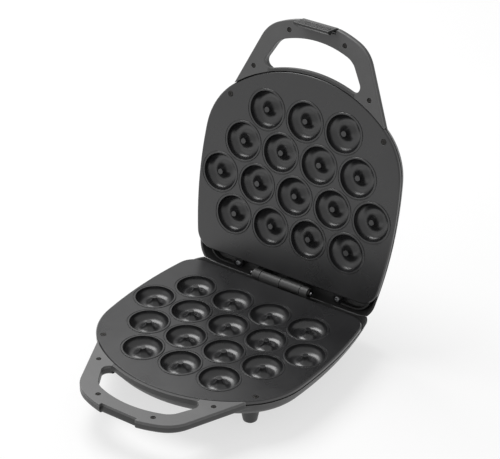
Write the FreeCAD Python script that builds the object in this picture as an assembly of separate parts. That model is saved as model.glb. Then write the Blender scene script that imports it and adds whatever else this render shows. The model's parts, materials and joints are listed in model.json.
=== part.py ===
import FreeCAD, Part
import math
import os

# Donut maker with sixteen moulds. Two alike halves turn on a pin at the back.
# Each half is a moulded casing with a loop handle, a cast mould plate and its heating parts.
# A swinging latch on the lid hooks under the base's handle.
# Frame: millimetres, +X to the right, -Y to the front where the handles are, +Z up, floor at Z = 0.
# Each half is drawn as the base half: hinge axis on the X axis, parting plane at Z = 0, the half below it.
# Reach is the distance from the hinge axis towards the front. Depth is the distance below the parting plane.

# Whole object
open_angle = 101.9
parting_height = 47.5
parting_gap = 0.5
fit_gap = 0.3
running_gap = 0.05
screw_gap = 0.05

# Outline that casing and plate share
half_width = 128.5
widest_reach = 112.0
side_radius = 495.0
front_reach = 244.0
front_drop = 52.5
shoulder_inset = 12.5
shoulder_radius = 80.0

# Mould plate
plate_rear_reach = 9.5
plate_corner_radius = 22.0
plate_web = 2.4
plate_edge = 4.0
plate_skirt_wall = 3.0
plate_edge_bevel = 1.2
plate_joint_gap = 0.7

# Moulds
mould_pitch = 50.0
row_spacing = 43.8
rear_row_reach = 60.5
row_counts = (4, 5, 4, 3)
mould_radius = 21.6
mould_depth = 9.6
post_radius = 3.1
post_core_radius = 0.4
cup_wall = 1.9
bead_width = 2.1
bead_height = 0.35
bead_slope = 0.4
groove_width = 0.8
groove_depth = 0.5

# Casing
heater_room = 14.0
casing_wall = 2.4
casing_taper = 22.0
casing_round = 19.0
casing_overhang = 14.0
casing_corner_radius = 30.0
casing_corner_least = 1.0
rim_gap = 1.6

# Handle
handle_length = 59.5
handle_depth = 12.0
handle_half_width = 82.2
handle_side_angle = 23.8
handle_front_radius = 123.0
handle_shoulder_radius = 40.0
handle_round = 4.5
handle_wall = 2.4
handle_bar = 20.5
opening_half_width = 63.5
opening_side_angle = 29.0
opening_front_radius = 112.0
opening_shoulder_radius = 22.0
opening_corner_radius = 7.5
strip_width = 3.8
strip_half_width = 55.5
strip_depth = 6.8
opening_round = 3.5
cover_thickness = 3.2
cover_round = 0.7

# Screws
head_round_share = 0.45
slot_length_share = 1.1
slot_width_share = 0.28
slot_depth_share = 0.55
handle_screw_insets = ((35.4, 16.5), (74.6, 67.0))
handle_screw_head_radius = 2.6
handle_screw_head_height = 1.5
handle_screw_shank_radius = 1.4
handle_screw_length = 8.0
handle_screw_sink = 2.0
handle_post_radius = 3.8
plate_screw_side_inset = 29.0
plate_screw_setback = 47.0
plate_screw_head_radius = 3.0
plate_screw_head_height = 1.4
plate_screw_shank_radius = 1.5
plate_screw_length = 10.5
plate_screw_proud = 0.25
plate_post_radius = 4.4
tab_place = (67.0, -0.5)
tab_radius = 5.0
tab_depth = 12.4
tab_thickness = 2.2
tab_web = 2.5
rear_post_radius = 4.2
rear_rib_wall = 1.8
rear_rib_inset = 9.0

# Hinge
pin_radius = 2.0
barrel_radius = 6.0
barrel_length = 26.0
ear_length = 9.5
knuckle_gap = 0.8
knuckle_rear = 4.0
pin_overhang = 4.0
cap_thickness = 1.6
cap_radius = 4.2
cap_round = 0.8

# Latch and its catch
latch_half_width = 22.0
latch_end_gap = 0.9
latch_pin_radius = 1.25
latch_pin_bite = 3.0
latch_barrel_radius = 2.6
latch_pivot_setback = 4.2
latch_pivot_depth = 6.2
latch_wall = 2.5
latch_tip = 15.6
latch_tip_round = 0.9
hook_reach = 2.4
hook_height = 3.2
hook_slack = 0.7
hook_lead = 0.8
latch_lean = 0.9
ridge_radius = 0.55
ridge_count = 4
ridge_pitch = 2.9
ridge_end_gap = 2.5
catch_depth = 8.2
catch_setback = 3.9
catch_slope = 2.3
catch_undercut = 3.0
notch_wall = 4.5

# Feet
foot_side_inset = 46.5
front_foot_setback = 63.0
rear_foot_reach = 20.0
foot_top_radius = 11.5
foot_tip_radius = 7.6
foot_tip_round = 1.6
pad_radius = 5.6
pad_height = 2.6
pad_sunk = 1.4
foot_screw_head_radius = 2.8
foot_screw_head_height = 1.8
foot_screw_shank_radius = 1.5
foot_screw_web = 4.0
foot_post_radius = 4.0
foot_post_height = 3.4

# Heating parts
tube_radius = 2.9
ring_radii = (84.0, 62.0, 40.0)
ring_centre_reach = 119.0
cold_end_angle = 14.0
front_turn_angle = 14.0
rear_turn_angle = 22.0
cold_end_turn = 9.0
cold_end_length = 5.0
cold_pin_radius = 1.5
cold_pin_length = 6.0
cold_pin_root = 1.0
longest_arc = 120.0
tube_gap = 0.25
shield_inset = 14.0
shield_thickness = 0.7
shield_post_radius = 3.6
shield_screw_head_radius = 2.6
shield_screw_head_height = 1.3
shield_screw_shank_radius = 1.3
shield_screw_length = 4.5
saddle_angles = (-50.0, 5.0, 60.0)
saddle_length = 6.0
saddle_wall = 1.8
saddle_floor = 0.9
thermostat_radius = 8.0
thermostat_flange_radius = 10.0
thermostat_flange = 1.0
thermostat_row = 1
thermostat_terminal = (0.8, 6.3, 4.0)
thermostat_terminal_spacing = 7.0
thermostat_hole_radius = 7.0
fuse_radius = 2.1
fuse_length = 14.0
fuse_offset = 11.0

# Mains entry and leads
gland_across = 52.0
gland_depth = 20.5
gland_sleeve_radius = 4.1
gland_collar_radius = 5.2
gland_bore_radius = 3.3
gland_proud = 1.0
gland_inner_reach = 3.0
gland_pillar_margin = 3.0
block_size = (22.0, 10.0, 5.4)
block_setback = 7.5
block_corner = 1.0
lead_radius = 1.2
lead_spacing = 2.9
lead_bend = 4.5
lead_drop_reach = 10.8
lead_step = 1.0
lead_trim_share = 0.45

# Indicator lamps on the lid
lamp_spacing = 22.0
lamp_setback = 31.0
lens_radius = 3.6
lens_flange_radius = 5.0
lens_dome = 1.6
lens_round = 1.3
lamp_radius = 2.4
lamp_length = 4.6

# Sizes that follow from those above
half_open = math.radians(open_angle / 2)
shoulder_half_width = half_width - shoulder_inset
front_radius = (shoulder_half_width**2 + front_drop**2) / (2 * front_drop)
front_centre = front_reach - front_radius
side_centre = half_width - side_radius
handle_front = front_reach + handle_length
opening_front = handle_front - handle_bar
strip_front = front_reach + strip_width + fit_gap
cover_top = parting_gap
cover_bottom = cover_top + cover_thickness
plate_top = parting_gap
plate_underside = plate_top + plate_web
plate_screw_seat = plate_top + plate_screw_head_height - plate_screw_proud
rim_depth = plate_top + plate_edge + rim_gap
cup_bottom = plate_top + mould_depth + cup_wall
casing_depth = cup_bottom + heater_room
floor_depth = casing_depth - casing_wall
tube_depth = cup_bottom + tube_gap + tube_radius
shield_top = tube_depth + tube_radius + saddle_floor
shield_underside = shield_top + shield_thickness
handle_floor = handle_depth - handle_wall
notch_half_width = latch_half_width + latch_end_gap
latch_pivot_reach = handle_front - latch_pivot_setback
catch_reach = handle_front - catch_setback
handle_screw_places = [(across, handle_front - setback) for across, setback in handle_screw_insets]
plate_screw_place = (half_width - plate_screw_side_inset, front_reach - plate_screw_setback)
front_foot_place = (half_width - foot_side_inset, front_reach - front_foot_setback)
rear_foot_place = (half_width - foot_side_inset, rear_foot_reach)
shield_post_ring = (ring_radii[1] + ring_radii[2]) / 2
shield_post_places = ((shield_post_ring, ring_centre_reach), (0.0, ring_centre_reach + shield_post_ring))
fuse_place = (0.0, ring_centre_reach + fuse_offset)
block_place = (gland_across, plate_rear_reach + block_setback)
lamp_reach = front_reach - lamp_setback
ORIGIN = FreeCAD.Vector(0, 0, 0)
X_AXIS = FreeCAD.Vector(1, 0, 0)
Y_AXIS = FreeCAD.Vector(0, 1, 0)
Z_AXIS = FreeCAD.Vector(0, 0, 1)
big = 600.0


def point(across, reach, height=0.0):
    return FreeCAD.Vector(across, -reach, height)


def arc(centre, start, end):
    """Edge of the shorter arc about centre from start to end."""
    radius = (start - centre).Length
    middle = (start - centre) + (end - centre)
    middle.normalize()
    return Part.Arc(start, centre + middle * radius, end).toShape()


def line(start, end):
    return Part.LineSegment(start, end).toShape()


def mirrored(spot):
    return FreeCAD.Vector(-spot.x, spot.y, spot.z)


def along(start, towards, distance):
    step = towards - start
    step.normalize()
    return start + step * distance


def crossing(centre_a, radius_a, centre_b, radius_b):
    """Crossing of two circles that lies further to the front."""
    apart = centre_b - centre_a
    reach_a = (apart.Length**2 + radius_a**2 - radius_b**2) / (2 * apart.Length)
    offset = math.sqrt(radius_a**2 - reach_a**2)
    apart.normalize()
    side = FreeCAD.Vector(-apart.y, apart.x, 0) * offset
    foot = centre_a + apart * reach_a
    return min(foot + side, foot - side, key=lambda spot: spot.y)


def line_on_circle(half, angle, centre, radius):
    """Front crossing of a handle's side line with a circle on the middle line."""
    slope = math.tan(math.radians(angle))
    shift = half + (front_reach - centre) * slope
    a = 1 + slope**2
    rise = (shift * slope + math.sqrt(a * radius**2 - shift**2)) / a
    return point(shift - rise * slope, centre + rise)


def outline_face(inset, rear_reach, corner_radius):
    """Outline of a half, moved inwards by inset, with the given rear edge."""
    front = point(0, front_centre)
    side = point(side_centre, widest_reach)
    shoulder = crossing(front, front_radius - shoulder_radius, side, side_radius - shoulder_radius)
    corner_reach = rear_reach + corner_radius
    corner_span = (side_radius - corner_radius) ** 2 - (corner_reach - widest_reach) ** 2
    corner = point(side_centre + math.sqrt(corner_span), corner_reach)
    front_end = along(front, shoulder, front_radius - inset)
    side_front = along(side, shoulder, side_radius - inset)
    side_rear = along(side, corner, side_radius - inset)
    rear_end = point(corner.x, rear_reach + inset)
    edges = [
        arc(front, mirrored(front_end), front_end),
        arc(shoulder, front_end, side_front),
        arc(side, side_front, side_rear),
        arc(corner, side_rear, rear_end),
        line(rear_end, mirrored(rear_end)),
        arc(mirrored(corner), mirrored(rear_end), mirrored(side_rear)),
        arc(mirrored(side), mirrored(side_rear), mirrored(side_front)),
        arc(mirrored(shoulder), mirrored(side_front), mirrored(front_end)),
    ]
    return Part.Face(Part.Wire(edges))


def plate_face(inset):
    return outline_face(inset, plate_rear_reach, plate_corner_radius)


def casing_face(inset):
    return outline_face(inset, -casing_overhang, casing_corner_radius)


def outward(angle):
    """Normal of the right side line, away from the middle."""
    turn = math.radians(angle)
    return point(math.cos(turn), math.sin(turn))


def handle_face(inset):
    """Outer outline of the handle, closed across the casing."""
    centre = handle_front - handle_front_radius
    front = point(0, centre)
    cosine = math.cos(math.radians(handle_side_angle))
    shoulder_line = handle_half_width - handle_shoulder_radius / cosine
    shoulder_span = handle_front_radius - handle_shoulder_radius
    shoulder = line_on_circle(shoulder_line, handle_side_angle, centre, shoulder_span)
    front_end = along(front, shoulder, handle_front_radius - inset)
    side_front = shoulder + outward(handle_side_angle) * (handle_shoulder_radius - inset)
    root_reach = front_reach - front_drop
    root_half = handle_half_width + front_drop * math.tan(math.radians(handle_side_angle)) - inset / cosine
    root = point(root_half, root_reach)
    edges = [
        arc(front, mirrored(front_end), front_end),
        arc(shoulder, front_end, side_front),
        line(side_front, root),
        line(root, mirrored(root)),
        line(mirrored(root), mirrored(side_front)),
        arc(mirrored(shoulder), mirrored(side_front), mirrored(front_end)),
    ]
    return Part.Face(Part.Wire(edges))


def opening_face(outset):
    """Finger opening of the handle, grown by outset."""
    centre = opening_front - opening_front_radius
    front = point(0, centre)
    rear = point(0, front_centre)
    rear_radius = front_radius + strip_width
    cosine = math.cos(math.radians(opening_side_angle))
    shoulder_line = opening_half_width - opening_shoulder_radius / cosine
    shoulder_span = opening_front_radius - opening_shoulder_radius
    shoulder = line_on_circle(shoulder_line, opening_side_angle, centre, shoulder_span)
    corner_line = opening_half_width - opening_corner_radius / cosine
    corner_span = rear_radius + opening_corner_radius
    corner = line_on_circle(corner_line, opening_side_angle, front_centre, corner_span)
    front_end = along(front, shoulder, opening_front_radius + outset)
    side_front = shoulder + outward(opening_side_angle) * (opening_shoulder_radius + outset)
    side_rear = corner + outward(opening_side_angle) * (opening_corner_radius + outset)
    rear_end = along(rear, corner, rear_radius - outset)
    edges = [
        arc(front, mirrored(front_end), front_end),
        arc(shoulder, front_end, side_front),
        line(side_front, side_rear),
        arc(corner, side_rear, rear_end),
        arc(rear, rear_end, mirrored(rear_end)),
        arc(mirrored(corner), mirrored(rear_end), mirrored(side_rear)),
        line(mirrored(side_rear), mirrored(side_front)),
        arc(mirrored(shoulder), mirrored(side_front), mirrored(front_end)),
    ]
    return Part.Face(Part.Wire(edges))


def block(face, top_depth, bottom_depth):
    """Solid of a flat outline between two depths."""
    lowered = face.copy()
    lowered.translate(FreeCAD.Vector(0, 0, -bottom_depth))
    return lowered.extrude(FreeCAD.Vector(0, 0, bottom_depth - top_depth))


def box(left, right, rear_reach, front_limit, top_depth, bottom_depth):
    corner = FreeCAD.Vector(left, -front_limit, -bottom_depth)
    return Part.makeBox(right - left, front_limit - rear_reach, bottom_depth - top_depth, corner)


def post(place, radius, top_depth, bottom_depth):
    return Part.makeCylinder(radius, bottom_depth - top_depth, point(place[0], place[1], -bottom_depth))


def rod(radius, left, right, reach=0.0, depth=0.0):
    return Part.makeCylinder(radius, right - left, point(left, reach, -depth), X_AXIS)


def prism(profile, left, right):
    """Solid between left and right whose section is a list of reach and depth pairs."""
    corners = [point(left, reach, -depth) for reach, depth in profile]
    face = Part.Face(Part.makePolygon(corners + corners[:1]))
    return face.extrude(FreeCAD.Vector(right - left, 0, 0))


def both_sides(place):
    """A place and its mirror image, or just the place on the middle line."""
    if place[0] == 0:
        return [place]
    return [(-place[0], place[1]), place]


def on_both_sides(places):
    """Every place of a list with its mirror image."""
    return [spot for place in places for spot in both_sides(place)]


def edges_at(solid, depth):
    """Edges that lie flat at a depth."""
    flat = []
    for edge in solid.Edges:
        limits = edge.BoundBox
        if abs(limits.ZMin + depth) < 0.001 and abs(limits.ZMax + depth) < 0.001:
            flat.append(edge)
    return flat


def joined(solids):
    return solids[0].multiFuse(solids[1:]).removeSplitter()


def screw(head_radius, head_height, shank_radius, shank_length):
    """Pan-head cross-recess screw, with the underside of its head at the origin."""
    head = Part.makeCylinder(head_radius, head_height)
    head = head.makeFillet(head_round_share * head_height, edges_at(head, -head_height))
    slot_length = slot_length_share * head_radius
    slot_width = slot_width_share * head_radius
    slot_depth = slot_depth_share * head_height
    for length, width in ((slot_length, slot_width), (slot_width, slot_length)):
        corner = FreeCAD.Vector(-length / 2, -width / 2, head_height - slot_depth)
        head = head.cut(Part.makeBox(length, width, head_height, corner))
    shank = Part.makeCylinder(shank_radius, shank_length, FreeCAD.Vector(0, 0, -shank_length))
    return head.fuse(shank).removeSplitter()


def placed(shape, across, reach, depth):
    moved = shape.copy()
    moved.translate(point(across, reach, -depth))
    return moved


def pan(inset, top_depth):
    """Tapered dish with a rounded edge that follows the casing outline, moved inwards by inset."""
    bottom = casing_depth - inset
    slope = math.tan(math.radians(casing_taper))
    draw_in = (casing_depth - rim_depth) * slope
    rim = casing_face(inset).OuterWire
    base = casing_face(inset + draw_in).OuterWire
    rim.translate(FreeCAD.Vector(0, 0, -rim_depth))
    base.translate(FreeCAD.Vector(0, 0, -bottom))
    dish = Part.makeLoft([rim, base], True, True)
    edge_round = min(casing_round, casing_corner_radius - draw_in - casing_corner_least) - inset
    dish = dish.makeFillet(edge_round, edges_at(dish, bottom))
    if top_depth < rim_depth:
        dish = dish.fuse(block(casing_face(inset), top_depth, rim_depth)).removeSplitter()
    return dish


def rear_relief():
    """Wedge behind the hinge that lets the other half's rear wall swing in."""
    fall = big * math.tan(half_open)
    lift = fit_gap / math.cos(half_open)
    return prism([(0, lift), (-big, lift + fall), (-big, -big), (0, -big)], -big, big)


def opening_edges(solid):
    """Edges of the finger opening on the handle's outer face."""
    found = []
    for edge in edges_at(solid, handle_depth):
        limits = edge.BoundBox
        if max(limits.XMax, -limits.XMin) < opening_half_width and -limits.YMin < opening_front + fit_gap:
            found.append(edge)
    return found


def handle_shell(notch):
    """Trough under the handle cover, with its screw posts and the latch notch."""
    body = block(handle_face(0), cover_bottom, handle_depth)
    body = body.makeFillet(handle_round, edges_at(body, handle_depth))
    strip = block(handle_face(0), cover_top, cover_bottom)
    strip = strip.common(box(-strip_half_width, strip_half_width, 0, strip_front, 0, big))
    body = body.cut(block(opening_face(0), -big, big))
    body = body.makeFillet(opening_round, opening_edges(body))
    body = body.cut(box(-strip_half_width, strip_half_width, 0, strip_front, strip_depth, big))
    body = body.fuse(strip.cut(block(opening_face(0), -big, big)))
    body = body.cut(pan(casing_wall / 2, rim_depth))
    body = body.cut(block(casing_face(-plate_joint_gap), -big, rim_depth))
    hollow = block(handle_face(handle_wall), 0, handle_floor)
    hollow = hollow.cut(block(opening_face(handle_wall), -big, big))
    hollow = hollow.cut(block(casing_face(-strip_width), -big, big))
    trough = body.cut(hollow)
    frame_half = notch_half_width + notch_wall
    frame_rear = latch_pivot_reach - latch_barrel_radius - notch_wall - 2 * fit_gap
    solids = [trough, body.common(box(-frame_half, frame_half, frame_rear, big, 0, big))]
    post_foot = handle_depth - handle_wall / 2
    places = on_both_sides(handle_screw_places)
    solids += [post(place, handle_post_radius, cover_bottom, post_foot) for place in places]
    shell = joined(solids).cut(notch)
    screw_depth = cover_top + handle_screw_sink + handle_screw_length
    bore = handle_screw_shank_radius + screw_gap
    return shell.cut([post(place, bore, 0, screw_depth) for place in places])


def catch_notch():
    """Cut in the base's handle that leaves a sloping face over an undercut for the hook."""
    rear = catch_reach - catch_slope
    under = catch_reach - catch_undercut
    profile = [
        (rear, -big),
        (rear, cover_bottom),
        (catch_reach, catch_depth),
        (under, catch_depth),
        (under, big),
        (big, big),
        (big, -big),
    ]
    return prism(profile, -notch_half_width, notch_half_width)


def latch_notch():
    """Cut in the lid's handle that takes the latch and its pin."""
    rear = latch_pivot_reach - latch_barrel_radius - 2 * fit_gap
    cut = box(-notch_half_width, notch_half_width, rear, big, -big, big)
    half = latch_pin_half() + fit_gap
    return cut.fuse(rod(latch_pin_radius + running_gap, -half, half, latch_pivot_reach, latch_pivot_depth))


def knuckles():
    """The barrel and the ear of one half's hinge, each with a web down to the casing floor."""
    barrel_right = -knuckle_gap / 2
    barrel_left = barrel_right - barrel_length
    ear_left = barrel_length + 1.5 * knuckle_gap
    filled = pan(casing_wall / 2, 0)
    solids = []
    for left, right in ((barrel_left, barrel_right), (ear_left, ear_left + ear_length)):
        web = box(left, right, -knuckle_rear, barrel_radius, 0, casing_depth).common(filled)
        solids.append(web.cut(rear_relief()).fuse(rod(barrel_radius, left, right)))
    bore = rod(pin_radius + running_gap, -big, big)
    return [solid.cut(bore) for solid in solids]


def inner_posts():
    """Screw posts and ribs on the casing floor."""
    filled = pan(casing_wall / 2, 0)
    solids = []
    for place in both_sides(plate_screw_place):
        solids.append(post(place, plate_post_radius, plate_underside, casing_depth).common(filled))
    for place in both_sides(tab_place):
        solids.append(post(place, rear_post_radius, tab_depth + tab_thickness, casing_depth).common(filled))
    for place in on_both_sides(shield_post_places):
        solids.append(post(place, shield_post_radius, shield_underside, casing_depth).common(filled))
    return solids


def rear_ribs():
    """Curved ribs beside the hinge, from the plate's tabs round the casing's rear corners."""
    outer = block(casing_face(rear_rib_inset), tab_depth, casing_depth)
    inner = block(casing_face(rear_rib_inset + rear_rib_wall), -big, big)
    ring = outer.cut(inner).common(pan(casing_wall / 2, 0)).cut(rear_relief())
    left = tab_place[0] + tab_radius + fit_gap
    right = ring.common(box(left, half_width, -casing_overhang, plate_rear_reach, 0, big))
    return [right, right.mirror(ORIGIN, X_AXIS)]


def casing(notch):
    """Casing of one half: dish, handle trough, knuckles and inner posts in one moulding."""
    dish = pan(0, rim_depth).cut(pan(casing_wall, -big)).cut(rear_relief())
    solids = [dish, handle_shell(notch)]
    solids += knuckles()
    solids += inner_posts()
    solids += rear_ribs()
    shell = joined(solids)
    drop = plate_screw_shank_radius + screw_gap
    for place in both_sides(plate_screw_place):
        shell = shell.cut(post(place, drop, 0, plate_screw_seat + plate_screw_length))
    for place in both_sides(tab_place):
        shell = shell.cut(post(place, drop, 0, tab_depth + plate_screw_length))
    shield_bore = shield_screw_shank_radius + screw_gap
    for place in on_both_sides(shield_post_places):
        shell = shell.cut(post(place, shield_bore, 0, shield_top + shield_screw_length))
    return shell


def mould_places():
    """Middle of every mould, row by row from the hinge."""
    places = []
    for row, count in enumerate(row_counts):
        for column in range(count):
            across = (column - (count - 1) / 2) * mould_pitch
            places.append((across, rear_row_reach + row * row_spacing))
    return places


def turned(profile_edges):
    """Solid of revolution about Z from edges in the XZ plane."""
    face = Part.Face(Part.Wire(profile_edges))
    return face.revolve(ORIGIN, Z_AXIS, 360)


def mould_cavity():
    """Half-ring trough with its mouth at the origin's height, and the groove round its bead."""
    middle = (mould_radius + post_radius) / 2
    outer = FreeCAD.Vector(mould_radius, 0, 0)
    inner = FreeCAD.Vector(post_radius, 0, 0)
    lip = FreeCAD.Vector(0, 0, 2 * bead_height)
    trough = Part.Arc(outer, FreeCAD.Vector(middle, 0, -mould_depth), inner).toShape()
    edges = [trough, line(inner, inner + lip), line(inner + lip, outer + lip), line(outer + lip, outer)]
    groove_inner = mould_radius + bead_width
    groove_outer = groove_inner + groove_width
    corners = [
        FreeCAD.Vector(groove_inner, 0, -groove_depth),
        FreeCAD.Vector(groove_outer, 0, -groove_depth),
        FreeCAD.Vector(groove_outer, 0, bead_height),
        FreeCAD.Vector(groove_inner, 0, bead_height),
    ]
    return [turned(edges), turned(Part.makePolygon(corners + corners[:1]).Edges)]


def mould_cup():
    """Underside of a mould and the raised bead round its mouth."""
    middle = (mould_radius + post_radius) / 2
    outer_radius = mould_radius + cup_wall
    inner_radius = max(post_radius - cup_wall, post_core_radius)
    top = -plate_web / 2
    outer = FreeCAD.Vector(outer_radius, 0, top)
    inner = FreeCAD.Vector(inner_radius, 0, top)
    bottom = FreeCAD.Vector(middle, 0, -mould_depth - cup_wall)
    cup = turned([Part.Arc(outer, bottom, inner).toShape(), line(inner, outer)])
    bead_inner = mould_radius - bead_width / 2
    bead_outer = mould_radius + bead_width
    corners = [
        FreeCAD.Vector(bead_inner, 0, top),
        FreeCAD.Vector(bead_outer, 0, top),
        FreeCAD.Vector(bead_outer, 0, 0),
        FreeCAD.Vector(bead_outer - bead_slope, 0, bead_height),
        FreeCAD.Vector(bead_inner, 0, bead_height),
    ]
    bead = turned(Part.makePolygon(corners + corners[:1]).Edges)
    return [cup, bead]


def plate_tab(side):
    """Screw tab that hangs from the plate's rear edge, beside the hinge."""
    across = side * tab_place[0]
    left = across - tab_radius
    right = across + tab_radius
    bottom = tab_depth + tab_thickness
    web_front = plate_rear_reach + tab_web
    web = box(left, right, plate_rear_reach, web_front, plate_underside - plate_web / 2, bottom)
    tongue = box(left, right, tab_place[1], web_front, tab_depth, bottom)
    return web.fuse(tongue).fuse(post((across, tab_place[1]), tab_radius, tab_depth, bottom))


def nearer_side(corners, own, other):
    """Part of a convex outline that lies nearer to one mould than to another."""
    middle = ((own[0] + other[0]) / 2, (own[1] + other[1]) / 2)
    away = [(x - middle[0]) * (other[0] - own[0]) + (y - middle[1]) * (other[1] - own[1]) for x, y in corners]
    kept = []
    for number, here in enumerate(corners):
        before = corners[number - 1]
        if away[number - 1] * away[number] < 0:
            step = away[number - 1] / (away[number - 1] - away[number])
            kept.append((before[0] + step * (here[0] - before[0]), before[1] + step * (here[1] - before[1])))
        if away[number] <= 0:
            kept.append(here)
    return kept


def mould_cell(place):
    """Upright prism round one mould, bounded midway to the moulds beside it."""
    corners = [(-big, -big), (big, -big), (big, big), (-big, big)]
    for other in mould_places():
        if other != place:
            corners = nearer_side(corners, place, other)
    spots = [point(across, reach) for across, reach in corners]
    return block(Part.Face(Part.makePolygon(spots + spots[:1])), -big, big)


def plate():
    """Cast plate with sixteen ring moulds, parted midway between them into one block per mould."""
    body = block(plate_face(0), plate_top, plate_top + plate_edge)
    body = body.makeChamfer(plate_edge_bevel, edges_at(body, plate_top))
    body = body.cut(block(plate_face(plate_skirt_wall), plate_underside, big))
    body = joined([body, plate_tab(-1), plate_tab(1)])
    shank = plate_screw_shank_radius + screw_gap
    head = plate_screw_head_radius + fit_gap
    seat = plate_post_radius + fit_gap
    for place in both_sides(plate_screw_place):
        body = body.cut([post(place, shank, 0, big), post(place, head, -big, plate_screw_seat)])
        body = body.cut(post(place, seat, plate_underside, big))
    for place in both_sides(tab_place):
        body = body.cut(post(place, shank, 0, big))
    cups = mould_cup()
    hollows = mould_cavity()
    blocks = []
    for across, reach in mould_places():
        solids = [body.common(mould_cell((across, reach)))]
        solids += [placed(cup, across, reach, plate_top) for cup in cups]
        blocks.append(joined(solids).cut([placed(hollow, across, reach, plate_top) for hollow in hollows]))
    return blocks


def plate_screws():
    """Two front screws through the plate's face and two rear screws through its tabs."""
    length = plate_screw_length - fit_gap
    one = screw(plate_screw_head_radius, plate_screw_head_height, plate_screw_shank_radius, length)
    front = [placed(one, across, reach, plate_screw_seat) for across, reach in both_sides(plate_screw_place)]
    rear = [placed(one, across, reach, tab_depth) for across, reach in both_sides(tab_place)]
    return front, rear


def handle_cover(notch_rear):
    """Horseshoe plate that closes the handle's trough, with sunk screw holes."""
    cover = block(handle_face(0), cover_top, cover_bottom)
    cover = cover.cut(block(opening_face(0), -big, big))
    cover = cover.makeFillet(cover_round, edges_at(cover, cover_top))
    cover = cover.cut(block(casing_face(-plate_joint_gap), -big, big))
    seam = strip_half_width + fit_gap
    cover = cover.cut(box(-seam, seam, 0, strip_front, -big, big))
    cover = cover.cut(box(-notch_half_width, notch_half_width, notch_rear, big, -big, big))
    for place in on_both_sides(handle_screw_places):
        cover = cover.cut(post(place, handle_screw_shank_radius + screw_gap, -big, big))
        cover = cover.cut(post(place, handle_screw_head_radius + fit_gap, 0, cover_top + handle_screw_sink))
    return cover


def handle_screws():
    length = handle_screw_length - fit_gap
    one = screw(handle_screw_head_radius, handle_screw_head_height, handle_screw_shank_radius, length)
    seat = cover_top + handle_screw_sink
    return [placed(one, across, reach, seat) for across, reach in on_both_sides(handle_screw_places)]


def ring_spot(radius, degrees):
    """Point of a heating ring, where 0 degrees is to the right and 90 to the front."""
    turn = math.radians(degrees)
    return point(radius * math.cos(turn), ring_centre_reach + radius * math.sin(turn), -tube_depth)


def ring_arcs(radius, start, end):
    """Arc of a heating ring in pieces of under a half circle."""
    centre = point(0, ring_centre_reach, -tube_depth)
    pieces = max(1, math.ceil(abs(end - start) / longest_arc))
    stops = [start + (end - start) * step / pieces for step in range(pieces + 1)]
    return [arc(centre, ring_spot(radius, a), ring_spot(radius, b)) for a, b in zip(stops[:-1], stops[1:])]


def turn_back(radius_a, radius_b, degrees, ahead):
    """Half circle that joins two rings at one angle, bulging by ahead to either side."""
    middle = ring_spot((radius_a + radius_b) / 2, degrees)
    swing = math.radians(degrees)
    tangent = point(-math.sin(swing), math.cos(swing)) * ahead
    bulge = middle + tangent * (abs(radius_a - radius_b) / 2)
    return Part.Arc(ring_spot(radius_a, degrees), bulge, ring_spot(radius_b, degrees)).toShape()


def ring_direction(degrees):
    turn = math.radians(degrees)
    return point(math.cos(turn), math.sin(turn))


def cold_end():
    """Right end of the heating tube: the bend's middle, the bend's start and the tube's end."""
    angle = cold_end_angle - 90.0
    middle = ring_spot(ring_radii[0], angle) + ring_direction(angle) * cold_end_turn
    start = middle - X_AXIS * cold_end_turn
    return middle, start, start + Y_AXIS * cold_end_length


def heating_element():
    """Tube bent into three rings, with a cold pin at each end."""
    outer, middle, inner = ring_radii
    start_angle = cold_end_angle - 90.0
    rear = rear_turn_angle - 90.0
    front = 90.0 - front_turn_angle
    bend_middle, bend_start, tube_end = cold_end()
    edges = [line(tube_end, bend_start), arc(bend_middle, bend_start, ring_spot(outer, start_angle))]
    edges += ring_arcs(outer, start_angle, front)
    edges.append(turn_back(outer, middle, front, 1))
    edges += ring_arcs(middle, front, rear)
    edges.append(turn_back(middle, inner, rear, -1))
    edges += ring_arcs(inner, rear, 90.0)
    edges += [edge.mirror(ORIGIN, X_AXIS) for edge in edges]
    path = Part.Wire(Part.__sortEdges__(edges))
    section = Part.Wire(Part.makeCircle(tube_radius, tube_end, Y_AXIS))
    tube = path.makePipeShell([section], True, False)
    plain_volume = math.pi * tube_radius**2 * path.Length
    print("heating tube: volume over section times length", tube.Volume / plain_volume)
    solids = [tube]
    for end in (tube_end, mirrored(tube_end)):
        root = end - Y_AXIS * cold_pin_root
        solids.append(Part.makeCylinder(cold_pin_radius, cold_pin_length + cold_pin_root, root, Y_AXIS))
    return joined(solids)


def element_saddles():
    """Cradles that carry the tube's outer ring above the heat shield."""
    width = 2 * (tube_radius + saddle_wall)
    height = shield_top - tube_depth
    corner = FreeCAD.Vector(-width / 2, -saddle_length / 2, -height)
    cradle = Part.makeBox(width, saddle_length, height, corner)
    groove_start = FreeCAD.Vector(0, -saddle_length, 0)
    cradle = cradle.cut(Part.makeCylinder(tube_radius + tube_gap, 2 * saddle_length, groove_start, Y_AXIS))
    saddles = []
    for angle in saddle_angles:
        right = cradle.copy()
        right.rotate(ORIGIN, Z_AXIS, -angle)
        right.translate(ring_spot(ring_radii[0], angle))
        saddles += [right, right.mirror(ORIGIN, X_AXIS)]
    return saddles


def thermostat_place():
    return (0.0, rear_row_reach + thermostat_row * row_spacing)


def heat_shield(lamp_holes):
    """Sheet under the heating tube, with holes for its screws, the thermostat's terminals and any lamps."""
    sheet = block(plate_face(shield_inset), shield_top, shield_underside)
    holes = [post(thermostat_place(), thermostat_hole_radius, 0, big)]
    shield_bore = shield_screw_shank_radius + screw_gap
    holes += [post(place, shield_bore, 0, big) for place in on_both_sides(shield_post_places)]
    for place in both_sides(plate_screw_place):
        holes.append(post(place, plate_post_radius + fit_gap, 0, big))
    holes += [post(place, lamp_radius + 2 * fit_gap, 0, big) for place in lamp_holes]
    return sheet.cut(holes)


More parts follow.
